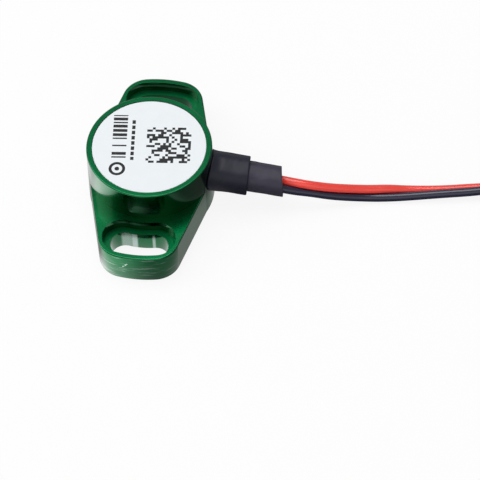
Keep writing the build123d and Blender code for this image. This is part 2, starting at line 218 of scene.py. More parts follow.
def dress(made, material, slot, *nodes):
    """Gives a piece its material and body, and hides the CAD nodes that it stands for. The slot is not used.
    """
    coat(made, material)
    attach(made, "root")
    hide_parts(*nodes)


def spoke(turn):
    """The level direction at a turn about the vertical."""
    return Vector((cos(turn), sin(turn), 0))


def arc(work, vertex, centre, turn, steps):
    """Draws an arc of edges from a vertex round a centre, and returns its last vertex."""
    spun = bmesh.ops.spin(
        work, geom=[vertex], cent=centre, axis=ABOUT_Z, angle=turn, steps=steps, dvec=(0, 0, 0)
    )
    return next(item for item in spun["geom_last"] if isinstance(item, bmesh.types.BMVert))


def straight(work, vertex, place):
    """Draws an edge from a vertex to a place, and returns the vertex there."""
    drawn = bmesh.ops.extrude_vert_indiv(work, verts=[vertex])["verts"][0]
    drawn.co = place
    return drawn


def raise_drawn(work, drawn, height):
    """Raises the vertices among what an extrusion drew."""
    tops = [item for item in drawn["geom"] if isinstance(item, bmesh.types.BMVert)]
    bmesh.ops.translate(work, verts=tops, vec=(0, 0, height))


def raise_outline(work, height):
    """Fills the drawn outline and raises it into a prism."""
    bmesh.ops.remove_doubles(work, verts=work.verts, dist=NEAR)
    bmesh.ops.contextual_create(work, geom=work.edges)
    raise_drawn(work, bmesh.ops.extrude_face_region(work, geom=work.faces), height)


def round_edges(work, edges, width, segments=3):
    """Rounds edges with a narrow bevel."""
    bmesh.ops.bevel(
        work, geom=edges, offset=width, segments=segments, profile=0.5, affect="EDGES",
        clamp_overlap=True, material=-1,
    )


def level_edges(work, height):
    """The edges that lie at a height."""
    return [edge for edge in work.edges if all(abs(end.co.z - height) < NEAR for end in edge.verts)]


def disc(name, radius, low, high, rounded=0.0):
    """An upright cylinder about the axis, with its upper rim rounded if asked."""
    work = bmesh.new()
    bmesh.ops.create_circle(work, cap_ends=True, radius=radius, segments=192)
    bmesh.ops.translate(work, verts=work.verts, vec=(0, 0, low))
    raise_drawn(work, bmesh.ops.extrude_face_region(work, geom=work.faces), high - low)
    if rounded:
        round_edges(work, level_edges(work, high), rounded)
    return finish_mesh(work, name)


def lathe(name, corners, origin, axis, across, steps=96):
    """Turns a closed outline, given along and out from an axis, into a ring or a solid."""
    work = bmesh.new()
    points = [work.verts.new(origin + axis * along + across * out) for along, out in corners]
    edges = [work.edges.new(pair) for pair in zip(points, points[1:] + points[:1])]
    bmesh.ops.spin(
        work, geom=points + edges, cent=origin, axis=axis, angle=tau, steps=steps,
        dvec=(0, 0, 0), use_merge=True,
    )
    return finish_mesh(work, name)


# Shader maths as expressions


def arithmetic(operation):
    """Makes a method that adds a Math node of this kind."""

    def method(self, *others):
        return self.math(operation, *others)

    return method


class Value:
    """A number that varies over a surface. Arithmetic on it adds Math nodes."""

    def __init__(self, maker, socket):
        self.maker = maker
        self.socket = socket

    def math(self, operation, *others):
        """Adds a Math node on this number and others."""
        return self.maker.node("ShaderNodeMath", {"operation": operation}, self, *others)

    __add__ = __radd__ = arithmetic("ADD")
    __sub__ = arithmetic("SUBTRACT")
    __mul__ = __rmul__ = arithmetic("MULTIPLY")
    __truediv__ = arithmetic("DIVIDE")
    __pow__ = arithmetic("POWER")
    __abs__ = arithmetic("ABSOLUTE")
    __lt__ = arithmetic("LESS_THAN")
    __gt__ = arithmetic("GREATER_THAN")
    floor = arithmetic("FLOOR")
    fract = arithmetic("FRACT")

    def __rsub__(self, other):
        return self * -1 + other

    def clamp(self):
        """Held between 0 and 1."""
        return self.math("MINIMUM", 1).math("MAXIMUM", 0)

    def between(self, low, high):
        """1 between two values and 0 elsewhere."""
        return (self > low) * (self < high)

    def ramp(self, low, high):
        """Rises smoothly from 0 to 1 between two values."""
        return self.maker.node(
            "ShaderNodeMapRange", {"interpolation_type": "SMOOTHSTEP"}, self, low, high, 0, 1
        )


class Nodes:
    """A node tree being filled."""

    def __init__(self, owner):
        owner.use_nodes = True
        self.tree = owner.node_tree
        self.tree.nodes.clear()
        self.object_place = None

    def node(self, kind, settings, *inputs, output=0, **named):
        """Adds a node, its settings first, then the values or links of its sockets."""
        added = self.tree.nodes.new(kind)
        for key, value in settings.items():
            setattr(added, key, value)
        sockets = [socket for socket in added.inputs if socket.enabled]
        for socket, value in zip(sockets, inputs):
            self.feed(socket, value)
        for key, value in named.items():
            self.feed(added.inputs[key.replace("_", " ")], value)
        outputs = [socket for socket in added.outputs if socket.enabled]
        return Value(self, outputs[output])

    def feed(self, socket, value):
        """Links a socket to a Value, or sets it."""
        if isinstance(value, Value):
            self.tree.links.new(value.socket, socket)
        elif value is not None:
            wide = socket.type == "RGBA" and len(value) == 3
            socket.default_value = (*value, 1) if wide else value

    def place(self):
        """The place on the piece, in metres."""
        if self.object_place is None:
            self.object_place = self.node("ShaderNodeTexCoord", {}, output=3)
        return self.object_place

    def axes(self, place=None):
        """The three coordinates of a place."""
        split = self.node("ShaderNodeSeparateXYZ", {}, place or self.place())
        return [Value(self, part) for part in split.socket.node.outputs]

    def scaled(self, x, y, z):
        """The place on the piece, stretched along each axis."""
        return self.node("ShaderNodeVectorMath", {"operation": "MULTIPLY"}, self.place(), (x, y, z))

    def rays(self):
        """Whether a ray comes from the camera, and whether it is mirrored or let through."""
        kinds = self.node("ShaderNodeLightPath", {}).socket.node.outputs
        seen, glossy, through = (
            Value(self, kinds[f"Is {kind} Ray"]) for kind in ("Camera", "Glossy", "Transmission")
        )
        return seen, glossy.math("MAXIMUM", through)

    def noise(self, scale, detail=3.0, roughness=0.55, place=None):
        """Soft noise from 0 to 1, over the piece or over another place."""
        return self.node(
            "ShaderNodeTexNoise", {}, Vector=place or self.place(), Scale=scale, Detail=detail,
            Roughness=roughness,
        )

    def scatter(self, column, row, seed):
        """A random number for each cell."""
        cell = self.node("ShaderNodeCombineXYZ", {}, column, row, seed)
        return self.node("ShaderNodeTexWhiteNoise", {"noise_dimensions": "3D"}, cell)

    def mix(self, factor, first, second):
        """A colour between two, by a factor from 0 to 1."""
        return self.node("ShaderNodeMix", {"data_type": "RGBA"}, factor, first, second)

    def drift(self, factor, shade, share):
        """A colour between a share of its light and all of it."""
        return self.mix(factor, tuple(part * share for part in shade), shade)

    def bump(self, height, distance, strength, normal=None):
        """A normal that a height bends, on top of another normal if one is given."""
        return self.node(
            "ShaderNodeBump", {}, Strength=strength, Distance=distance, Height=height, Normal=normal
        )

    def end(self, kind, value):
        """Ends the tree in an output node."""
        ending = self.tree.nodes.new(kind)
        self.tree.links.new(value.socket, ending.inputs["Surface"])


class Finish(Nodes):
    """A procedural material being made."""

    def __init__(self, name):
        self.material = bpy.data.materials.new(name)
        super().__init__(self.material)

    def surface(self, **sockets):
        """Ends the material in a Principled shader with these values."""
        self.end("ShaderNodeOutputMaterial", self.node("ShaderNodeBsdfPrincipled", {}, **sockets))
        return self.material


# Materials


def anodised_metal(dye):
    """Dyed anodising on turned and milled aluminium: cutter lines, a nick of bare metal, and painted glints
    and highlights, under a clear skin.
    """
    finish = Finish("anodised aluminium")
    x, y, z = finish.axes()
    radius = (x * x + y * y) ** 0.5
    normal = finish.node("ShaderNodeNewGeometry", {}, output=1)
    facing_up = abs(finish.axes(normal)[2]).ramp(0.6, 0.9)
    upright = 1 - facing_up
    levels = finish.noise(1.0, 2.0, 0.5, finish.scaled(120, 120, 9000))
    rings = finish.noise(1.0, 2.0, 0.6, finish.node("ShaderNodeCombineXYZ", {}, radius * 5200, 0, 0))
    cutter_lines = levels * upright + rings * facing_up
    grain = finish.noise(2600, 4.0, 0.6)
    cloud = finish.noise(260, 2.0)
    tint = finish.drift((cloud * 0.7 + cutter_lines * 0.3).ramp(0.3, 0.72), dye, 0.72)
    # Back wall of the near slot, which carries the painted highlight stripes and the ribs.
    slot_wall = upright * (abs(x) < 2.6 * MM) * y.between(-7.9 * MM, -6.6 * MM) * (z < 2 * MM)
    wear_and_glint_mask = wear_and_painted_glints(finish, upright * radius.ramp(9.6 * MM, 10.5 * MM), slot_wall)
    # Pale tint: bare metal at the nick, and the colour of the painted glints and painted highlights.
    bare_metal_and_glint_tint = (0.52, 0.66, 0.6)
    tint = finish.mix(wear_and_glint_mask, tint, bare_metal_and_glint_tint)
    skin = finish.bump(cutter_lines * 0.6 + grain * 0.4, 0.004 * MM, 0.35)
    ribs = finish.noise(1.0, 1.0, 0.5, finish.scaled(1500, 1500, 40)) * slot_wall
    skin = finish.bump(ribs, 0.06 * MM, 0.5, skin)
    low_flats = facing_up * (z < 2.5 * MM)
    gloss = 0.14 + 0.1 * grain + 0.1 * facing_up + 0.15 * wear_and_glint_mask + 0.16 * low_flats
    return finish.surface(
        Base_Color=tint, Metallic=1.0, Roughness=gloss,
        Normal=skin, Coat_Weight=1.0, Coat_Roughness=0.04, Coat_IOR=1.3,
    )


def wear_and_painted_glints(finish, ear_ends, slot_wall):
    """A nick on the ears' ends where the dye is gone, painted glints along streaks there, and painted
    highlight stripes in the near slot.
    """
    x, y, z = finish.axes()
    # Painted glints: pale streaks on the ears' ends stand in for highlights along the cutter lines.
    streak_glints = finish.noise(1.0, 3.0, 0.6, finish.scaled(480, 480, 5200)).ramp(0.54, 0.66)
    right, up, slant = x + 1.05 * MM, z - 2 * MM, radians(48)
    lengthwise = (right * cos(slant) + up * sin(slant)) / (0.42 * MM)
    crosswise = (up * cos(slant) - right * sin(slant)) / (0.09 * MM)
    nick = (lengthwise * lengthwise + crosswise * crosswise < 1) * (y < -10 * MM)
    nick = nick * finish.noise(5200, 3.0).ramp(0.42, 0.56)
    # Painted highlights: pale upright stripes on the near slot's back wall.
    slot_highlights = 0.7 * stripe(x, -1.15, 0.6, 0.85) + stripe(x, -0.6, 0.1, 0.35) + stripe(x, 1.18, 0.06, 0.2)
    patchy = 0.55 + 0.45 * finish.noise(1.0, 1.0, 0.5, finish.scaled(2400, 200, 60))
    return (streak_glints * ear_ends * 0.35 + nick * 0.8 + slot_highlights * slot_wall * patchy).clamp()


def stripe(across, middle, full, end):
    """An upright stripe, given in mm: 1 up to one distance from its middle, and 0 past another."""
    return 1 - abs(across - middle * MM).ramp(full * MM, end * MM)


def printed_film(film, ink):
    """White label film with a generic print, in mm: scattered cells, bars, dashes, a ring and a dot."""
    finish = Finish("printed label film")
    x, y, _ = finish.axes()
    turn = radians(4.9)
    across = (x * cos(turn) + y * sin(turn)) / MM
    upward = (y * cos(turn) - x * sin(turn)) / MM
    cell, cells_a_side = 0.2625, 16
    column, row = ((across + 0.27) / cell).floor(), ((upward + 1.91) / cell).floor()
    block = column.between(-0.5, cells_a_side - 0.5) * row.between(-0.5, cells_a_side - 0.5)
    cells = (finish.scatter(column, row, 7.0) > 0.52) * block
    thinnest_bar = 0.17
    dark_bars = finish.scatter((upward / thinnest_bar).floor(), 0.0, 5.0) > 0.5
    bars = dark_bars * across.between(-3.5, -2.15) * upward.between(-1.6, 3.7)
    dash_step, dash_gap = 0.62, 0.3
    dark_dashes = (upward / dash_step).fract() > dash_gap
    dashes = dark_dashes * across.between(-1.72, -1.4) * upward.between(-1.6, 3.2)
    aside, above = across + 2.9, upward + 2.65
    from_mark = (aside * aside + above * above) ** 0.5
    ring_and_dot = from_mark.between(0.5, 0.78).math("MAXIMUM", from_mark < 0.22)
    marks = (cells + bars + dashes + ring_and_dot).clamp()
    mottle = finish.noise(900, 3.0)
    paper = finish.drift(mottle.ramp(0.3, 0.7), film, 0.985)
    printed = finish.mix(marks * (0.96 + 0.04 * finish.noise(5200, 2.0)), paper, ink)
    return finish.surface(
        Base_Color=printed, Roughness=0.42 + 0.06 * mottle, Normal=finish.bump(mottle, 0.002 * MM, 0.3),
        Specular_IOR_Level=0.25,
    )


def shrunk_film(name, shade):
    """Shrunk sleeve: dark, with a soft sheen, faint ribs and scuffs."""
    finish = Finish(name)
    drift = finish.noise(420, 3.0)
    grain = finish.noise(5200, 3.0, 0.65)
    pulled = finish.noise(1.0, 2.0, 0.5, finish.scaled(160, 1500, 1500))
    tint = finish.drift(drift.ramp(0.3, 0.7), shade, 0.8)
    skin = finish.bump(drift * 0.4 + pulled * 0.35 + grain * 0.25, 0.03 * MM, 0.4)
    return finish.surface(
        Base_Color=tint, Roughness=0.4 + 0.12 * grain, Normal=skin, Specular_IOR_Level=0.42,
    )


def lead_insulation(name, shade):
    """Extruded insulation: an even colour with faint drift and dust."""
    finish = Finish(name)
    drift = finish.noise(330, 2.0)
    dust = finish.noise(4200, 4.0, 0.7)
    tint = finish.drift(drift.ramp(0.25, 0.75), shade, 0.9)
    skin = finish.bump(drift * 0.6 + dust * 0.4, 0.01 * MM, 0.3)
    return finish.surface(Base_Color=tint, Roughness=0.16 + 0.14 * dust, Normal=skin, Specular_IOR_Level=0.7)


def tinned_copper():
    """Tin over copper: pale, a little uneven."""
    finish = Finish("tinned copper")
    cloud = finish.noise(1800, 4.0, 0.6)
    tint = finish.mix(cloud.ramp(0.3, 0.75), (0.62, 0.6, 0.56), (0.86, 0.85, 0.82))
    return finish.surface(
        Base_Color=tint, Metallic=1.0, Roughness=0.24 + 0.2 * cloud, Normal=finish.bump(cloud, 0.01 * MM, 0.4)
    )


def moulded(name, light, dark, roughness):
    """A plain solid such as resin, laminate, ceramic or nylon, with a fine grain of two shades."""
    finish = Finish(name)
    grain = finish.noise(2400, 4.0, 0.65)
    return finish.surface(
        Base_Color=finish.mix(grain.ramp(0.3, 0.7), dark, light), Roughness=roughness + 0.12 * grain,
        Normal=finish.bump(grain, 0.006 * MM, 0.5),
    )


def circuit_laminate():
    """Solder mask over copper tracks that run square to each other."""
    finish = Finish("circuit laminate")
    x, y, _ = finish.axes()
    pitch = 0.5 * MM
    lengthwise, crosswise = ((place / pitch).fract().between(0.3, 0.62) for place in (x, y))
    tracks = (lengthwise * (y > 0) + crosswise).clamp()
    grain = finish.noise(3000, 3.0)
    mask = finish.mix(grain, (0.008, 0.07, 0.03), (0.012, 0.1, 0.045))
    return finish.surface(
        Base_Color=finish.mix(tracks * 0.6, mask, (0.03, 0.2, 0.09)), Roughness=0.3 + 0.1 * grain,
        Normal=finish.bump(tracks, 0.02 * MM, 0.5),
    )


# Operators: one for each piece or group of like pieces


class SENSOR_OT_housing(Operator):
    """Turn and mill the anodised housing: puck, flange, slots, pockets, recess and cavity"""

    bl_idname = "sensor.housing"
    bl_label = "Housing"

    def execute(self, context):
        size = context.scene.sensor_housing
        made = self.flange(size)
        body = disc("body", size.body_radius, 0, size.body_height, rounded=size.edge_break)
        combine(made, body, "UNION")
        cuts = (
            (size.pocket_width, size.pocket_swing, size.flange_thickness - size.pocket_depth),
            (size.slot_width, size.slot_swing, BELOW),
        )
        cutters = [self.slot_cutter(size, *cut, side) for side in (1, -1) for cut in cuts]
        cutters += [
            disc("recess", size.recess_radius, size.body_height - size.recess_depth, ABOVE),
            self.cavity_cutter(), self.exit_cutter(context.scene.sensor_sleeves),
        ]
        for cutter in cutters:
            combine(made, cutter, "DIFFERENCE")
        self.break_edges(made, size)
        keep_flats_flat(made)
        made.name = "anodised_housing"
        dress(made, anodised_metal(size.metal), "anodised_aluminium", "housing")
        return {"FINISHED"}

    def flange(self, size):
        """The flange's prism, with its upper edge rounded."""
        reach = size.end_radius - size.corner_radius
        spread = acos((size.waist_radius - size.corner_radius) / reach)
        corner_turn = size.flank_angle + spread
        corner = spoke(corner_turn) * reach
        work = bmesh.new()
        tip = work.verts.new((size.waist_radius, 0, 0))
        tip = arc(work, tip, CENTRE, size.flank_angle, steps=10)
        tip = straight(work, tip, corner + spoke(size.flank_angle) * size.corner_radius)
        tip = arc(work, tip, corner, spread, steps=28)
        arc(work, tip, CENTRE, pi / 2 - corner_turn, steps=14)
        for axis in "XY":
            bmesh.ops.mirror(work, geom=work.verts[:] + work.edges[:], axis=axis, merge_dist=NEAR)
        raise_outline(work, size.flange_thickness)
        round_edges(work, level_edges(work, size.flange_thickness), size.edge_break)
        return finish_mesh(work, "flange")

    def slot_cutter(self, size, width, swing, floor, side):
        """A curved slot's prism, from its floor up past the flange."""
        half = width / 2
        first = spoke(pi / 2 - swing) * size.slot_radius
        last = Vector((-first.x, first.y, 0))
        work = bmesh.new()
        tip = work.verts.new(first * (1 + half / size.slot_radius))
        tip = arc(work, tip, CENTRE, 2 * swing, steps=24)
        tip = arc(work, tip, last, pi, steps=32)
        tip = arc(work, tip, CENTRE, -2 * swing, steps=24)
        arc(work, tip, first, pi, steps=32)
        bmesh.ops.translate(work, verts=work.verts, vec=(0, 0, floor))
        raise_outline(work, 2 * size.flange_thickness - floor)
        if side < 0:
            turned = Matrix.Rotation(pi, 3, "Z")
            bmesh.ops.rotate(work, verts=work.verts, cent=CENTRE, matrix=turned)
        return finish_mesh(work, "slot cutter")

    def cavity_cutter(self):
        """The stepped cavity, from the cover's seat up to the roof."""
        clearance, ledge = 0.05 * MM, 0.5 * MM
        cover, board, filling = (
            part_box(node)[1] for node in ("base_cover", "circuit_board", "potting_compound")
        )
        seat = cover.x + clearance
        bore = board.x + clearance
        cavity = bore - ledge
        outline = [
            (BELOW, 0), (BELOW, seat), (cover.z, seat), (cover.z, bore), (board.z, bore),
            (board.z, cavity), (filling.z, cavity), (filling.z, 0),
        ]
        return lathe("cavity cutter", outline, Vector(), ABOUT_Z, Vector((1, 0, 0)), steps=128)

    def exit_cutter(self, sleeves):
        """The stepped bore of the cable exit."""
        origin, axis, up = exit_frame(sleeves)
        begin, step, end = -3.2 * MM, -1.35 * MM, 1.3 * MM
        narrow, wide = 0.95 * MM, 1.32 * MM
        outline = [(begin, 0), (begin, narrow), (step, narrow), (step, wide), (end, wide), (end, 0)]
        return lathe("exit cutter", outline, origin, axis, up, steps=64)

    def break_edges(self, made, size):
        """Rounds the sharp outer edges of the cut-outs, the rim and the mounting face."""
        work = bmesh.new()
        work.from_mesh(made.data)
        bmesh.ops.remove_doubles(work, verts=work.verts, dist=WELD)
        levels = (0, size.flange_thickness - size.pocket_depth, size.flange_thickness, size.body_height)
        cavity_reach = size.recess_radius - 1 * MM
        chosen = []
        for level in levels:
            for edge in level_edges(work, level):
                middle = (edge.verts[0].co + edge.verts[1].co) / 2
                sharp = len(edge.link_faces) == 2 and edge.is_convex and edge.calc_face_angle() > SHARP
                if sharp and middle.xy.length > cavity_reach:
                    chosen.append(edge)
        round_edges(work, chosen, size.fine_break)
        store(work, made.data)


def exit_frame(sleeves):
    """The exit axis: where it leaves the puck's wall, its direction and the direction up across it."""
    body_radius = sleeves.id_data.sensor_housing.body_radius
    origin = Vector((body_radius, 0, sleeves.exit_height))
    axis = Vector((cos(sleeves.exit_dip), 0, -sin(sleeves.exit_dip)))
    up = Vector((sin(sleeves.exit_dip), 0, cos(sleeves.exit_dip)))
    return origin, axis, up


def about_axis(made, origin, axis):
    """Each vertex of a piece, with its place along an axis and its offset across it."""
    for vertex in made.data.vertices:
        offset = vertex.co - origin
        along = offset.dot(axis)
        yield vertex, along, offset - axis * along


def wrinkle(along, turn, pace, spread, seed):
    """Noise over a sleeve, by the millimetres along it and the direction round it."""
    return noise.noise(Vector((along / MM * pace, turn.y * spread, turn.z * spread + seed)))


class SENSOR_OT_label(Operator):
    """Cut the round label and print it"""

    bl_idname = "sensor.label"
    bl_label = "Label"

    def execute(self, context):
        size = context.scene.sensor_label
        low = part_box("face_label")[0].z
        made = disc("round_label", size.radius, low, low + size.thickness, rounded=size.thickness * 0.4)
        keep_flats_flat(made)
        dress(made, printed_film(size.film, size.ink), "label_film", "face_label")
        return {"FINISHED"}


class SENSOR_OT_sleeves(Operator):
    """Shrink the two sleeves over the cable exit"""

    bl_idname = "sensor.sleeves"
    bl_label = "Shrink sleeves"

    def execute(self, context):
        size = context.scene.sensor_sleeves
        span = size.large_start, size.large_reach
        radii = size.large_radius, size.large_end_radius
        large = self.sleeve("large_sleeve", size, span, radii, size.large_bore)
        self.hug_body(large, size)
        self.settle(large, size, span, reach=0.04 * MM, slant=-0.07 * MM, swell=0)
        film = shrunk_film("large sleeve film", size.film)
        dress(large, film, "shrink_sleeve", "large_heat_shrink")
        span = size.small_start, size.small_reach
        radii = size.small_radius, size.small_end_radius
        small = self.sleeve("small_sleeve", size, span, radii, size.small_bore)
        self.settle(small, size, span, reach=0.07 * MM, slant=-0.27 * MM, swell=0.07)
        film = shrunk_film("small sleeve film", size.small_film)
        dress(small, film, "shrink_sleeve", "small_heat_shrink")
        return {"FINISHED"}

    def settle(self, made, size, span, reach, slant, swell):
        """Shapes a sleeve as film shrinks: a slanting mouth, a fuller underside, flatter sides, ripples."""
        origin, axis, up = exit_frame(size)
        seen_up = Vector((0, 0.81, 0.59))
        lean = radians(12)
        flat_side = up * cos(lean) - Vector((0, sin(lean), 0))
        squareness, flat_from = 2.6, 0.3
        ripple_height, fold_height = 0.035 * MM, 0.012 * MM
        for vertex, along, across in about_axis(made, origin, axis):
            share = min(max((along - span[0]) / (span[1] - span[0]), 0), 1)
            side = across.dot(seen_up) / across.length
            turn = across.normalized()
            level = abs(across.dot(flat_side)) / across.length
            sideways = sqrt(max(1 - level**2, 0))
            crown = (level**squareness + sideways**squareness) ** (-1 / squareness)
            across *= 1 + min(share / flat_from, 1) * (crown * (0.97 - 0.07 * level**2) - 1)
            ripple = wrinkle(along, turn, pace=0.9, spread=1.6, seed=0) * ripple_height
            fold = wrinkle(along, turn, pace=2.6, spread=2.2, seed=9) * fold_height
            growth = (ripple + fold) * (1 - share**6)
            shift = share**2 * (reach + slant * side)
            across *= 1 + swell * share * max(-side, 0)
            vertex.co = origin + axis * (along + shift) + across + turn * growth

    def sleeve(self, name, size, span, radii, bore):
        """A shrunk sleeve between two places on the exit axis, with a rounded lip."""
        origin, axis, up = exit_frame(size)
        (start, end), (radius, end_radius) = span, radii
        steps = 24
        places = [start + (end - start) * step / steps for step in range(steps)]
        outer = [
            (place, radius + (end_radius - radius) * step / steps) for step, place in enumerate(places)
        ]
        lip = 0.3 * (end_radius - bore)
        rounding = [
            (end - lip + lip * sin(turn), end_radius - lip * (1 - cos(turn)))
            for turn in (0, pi / 6, pi / 3, pi / 2)
        ]
        outline = [*outer, *rounding, (end, bore), *((place, bore) for place in reversed(places))]
        return lathe(name, outline, origin, axis, up)

    def hug_body(self, made, size):
        """Draws the sleeve's inner end onto the puck's wall, with a slight flare there."""
        origin, axis, _ = exit_frame(size)
        gap, flare_height, flare_reach = 0.03 * MM, 0.05, 0.3 * MM
        wall, start = origin.x + gap, size.large_start
        for vertex, along, across in about_axis(made, origin, axis):
            meeting = (sqrt(wall**2 - across.y**2) - origin.x - across.x) / axis.x
            share = (along - start) / (size.large_reach - start)
            place = meeting + share * (size.large_reach - meeting)
            flare = 1 + flare_height * exp(-(place - meeting) / flare_reach)
            if across.length < (size.large_radius + size.large_bore) / 2:
                flare = 1
            vertex.co = origin + axis * place + across * flare


# The leads' routes, from the sleeve's mouth to the coil, in millimetres

RED_ROUTE = [
    (12.48, 0.24, 2.70), (13.60, 0.05, 2.75), (15.20, -0.02, 2.58), (17.40, 0.38, 1.90),
    (20.60, 1.17, 1.10), (22.40, 1.57, 0.92), (24.20, 1.99, 0.42), (27.40, 2.31, 0.42),
    (30.80, 2.96, 0.42), (34.10, 3.40, 0.44), (36.90, 3.72, 0.64), (39.20, 4.21, 0.64),
]
BLACK_ROUTE = [
    (12.48, -0.64, 2.54), (13.60, -0.54, 2.19), (15.20, -0.27, 1.78), (17.40, -0.01, 1.16),
    (20.60, 0.70, 0.42), (22.40, 0.87, 0.46), (24.20, 1.15, 0.48), (27.40, 1.57, 0.78),
    (30.80, 2.17, 0.82), (34.10, 2.80, 1.16), (36.90, 3.72, 1.52), (39.20, 4.21, 1.52),
]


class Coil:
    """The put-away coil: in, half a turn of climb, and out again above."""

    def __init__(self, size, route):
        self.size = size
        before, last = (Vector(point) * MM for point in route[-2:])
        heading = last - before
        self.height = last.z
        self.spread = size.turn_pitch * size.layer_turns / 2
        self.turns = 2 * size.layer_turns + size.reversal
        outer = size.coil_radius + self.spread
        tilt = atan(size.turn_pitch / (tau * outer))
        self.start_angle = atan2(heading.y, heading.x) - pi / 2 - tilt
        start = last + heading.normalized() * size.diameter
        self.centre = start - spoke(self.start_angle) * outer

    def radius(self, turn):
        """The spiral's radius after a number of turns."""
        size = self.size
        back = turn - size.layer_turns
        inner = size.coil_radius - self.spread
        if back <= 0:
            return size.coil_radius + self.spread - size.turn_pitch * turn
        if back < size.reversal:
            return inner - size.turn_pitch * back * (1 - back / size.reversal)
        return inner + size.turn_pitch * (back - size.reversal)

    def climb(self, turn):
        """How far the lead has climbed after a number of turns."""
        share = min(max((turn - self.size.layer_turns) / self.size.reversal, 0), 1)
        return 2 * self.size.layer_pitch * share**2 * (3 - 2 * share)

    def point(self, turn, grow=1.0):
        """The point after a number of turns, with the radius grown as a control point needs."""
        bearing = self.start_angle + tau * turn
        reach = self.radius(turn) * grow
        return Vector((
            self.centre.x + reach * cos(bearing),
            self.centre.y + reach * sin(bearing),
            self.height + self.climb(turn),
        ))

    def tail(self):
        """Where the last turn ends, and which way it points."""
        end = self.point(self.turns)
        return end, (end - self.point(self.turns - 0.001)).normalized()


class SENSOR_OT_leads(Operator):
    """Lay the red and the black lead from the sleeve's mouth to their put-away coil"""

    bl_idname = "sensor.leads"
    bl_label = "Leads"

    def execute(self, context):
        size = context.scene.sensor_leads
        tin = tinned_copper()
        for name, route, shade in (("red", RED_ROUTE, size.red), ("black", BLACK_ROUTE, size.black)):
            coil = Coil(size, route)
            lead = self.lead(f"{name}_lead", size, route, coil)
            lead.data.materials.append(lead_insulation(f"{name} insulation", shade))
            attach(lead, "root")
            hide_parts(f"{name}_wire", f"{name}_wire_coil")
            end, heading = coil.tail()
            tip = self.bare_end(f"{name}_bare_end", size, end + heading * size.diameter, heading)
            dress(tip, tin, "tinned_metal", f"{name}_wire_tip")
        return {"FINISHED"}

    def lead(self, name, size, route, coil):
        """One lead as a smooth curve through its route and its coil's turns."""
        count = round(coil.turns * size.steps)
        grow = 1 / cos(pi / size.steps)
        points = [Vector(point) * MM for point in route]
        points += [coil.point(index / size.steps, grow) for index in range(1, count + 1)]
        end, heading = coil.tail()
        points.append(end + heading * size.diameter)
        curve = bpy.data.curves.new(name, "CURVE")
        curve.dimensions = "3D"
        spline = curve.splines.new("NURBS")
        spline.points.add(len(points) - 1)
        for target, point in zip(spline.points, points):
            target.co = (*point, 1)
        spline.order_u = 3
        spline.use_endpoint_u = True
        spline.resolution_u = 8
        curve.bevel_depth = size.diameter / 2
        curve.bevel_resolution = 7
        curve.use_fill_caps = True
        return new_object(name, curve)

    def bare_end(self, name, size, origin, heading):
        """Seven tinned strands, six twisted round one."""
        across = heading.cross(ABOUT_Z).normalized()
        strand = size.core_diameter / 6
        outer_strands, twist, steps = 6, 0.8, 40
        faced = heading.to_track_quat("Z", "Y").to_matrix().to_4x4()
        work = bmesh.new()
        for index in range(outer_strands + 1):
            turned = Matrix.Rotation(tau * index / outer_strands, 3, heading)
            offset = turned @ across * 2 * strand if index < outer_strands else Vector()
            place = Matrix.Translation(origin + offset) @ faced
            ring = bmesh.ops.create_circle(work, cap_ends=True, radius=strand, segments=12, matrix=place)
            face = ring["verts"][0].link_faces[0]
            bmesh.ops.spin(
                work, geom=[face], cent=origin, axis=heading, dvec=heading * size.tip_length / steps,
                angle=tau * twist, steps=steps,
            )
        return finish_mesh(work, name)


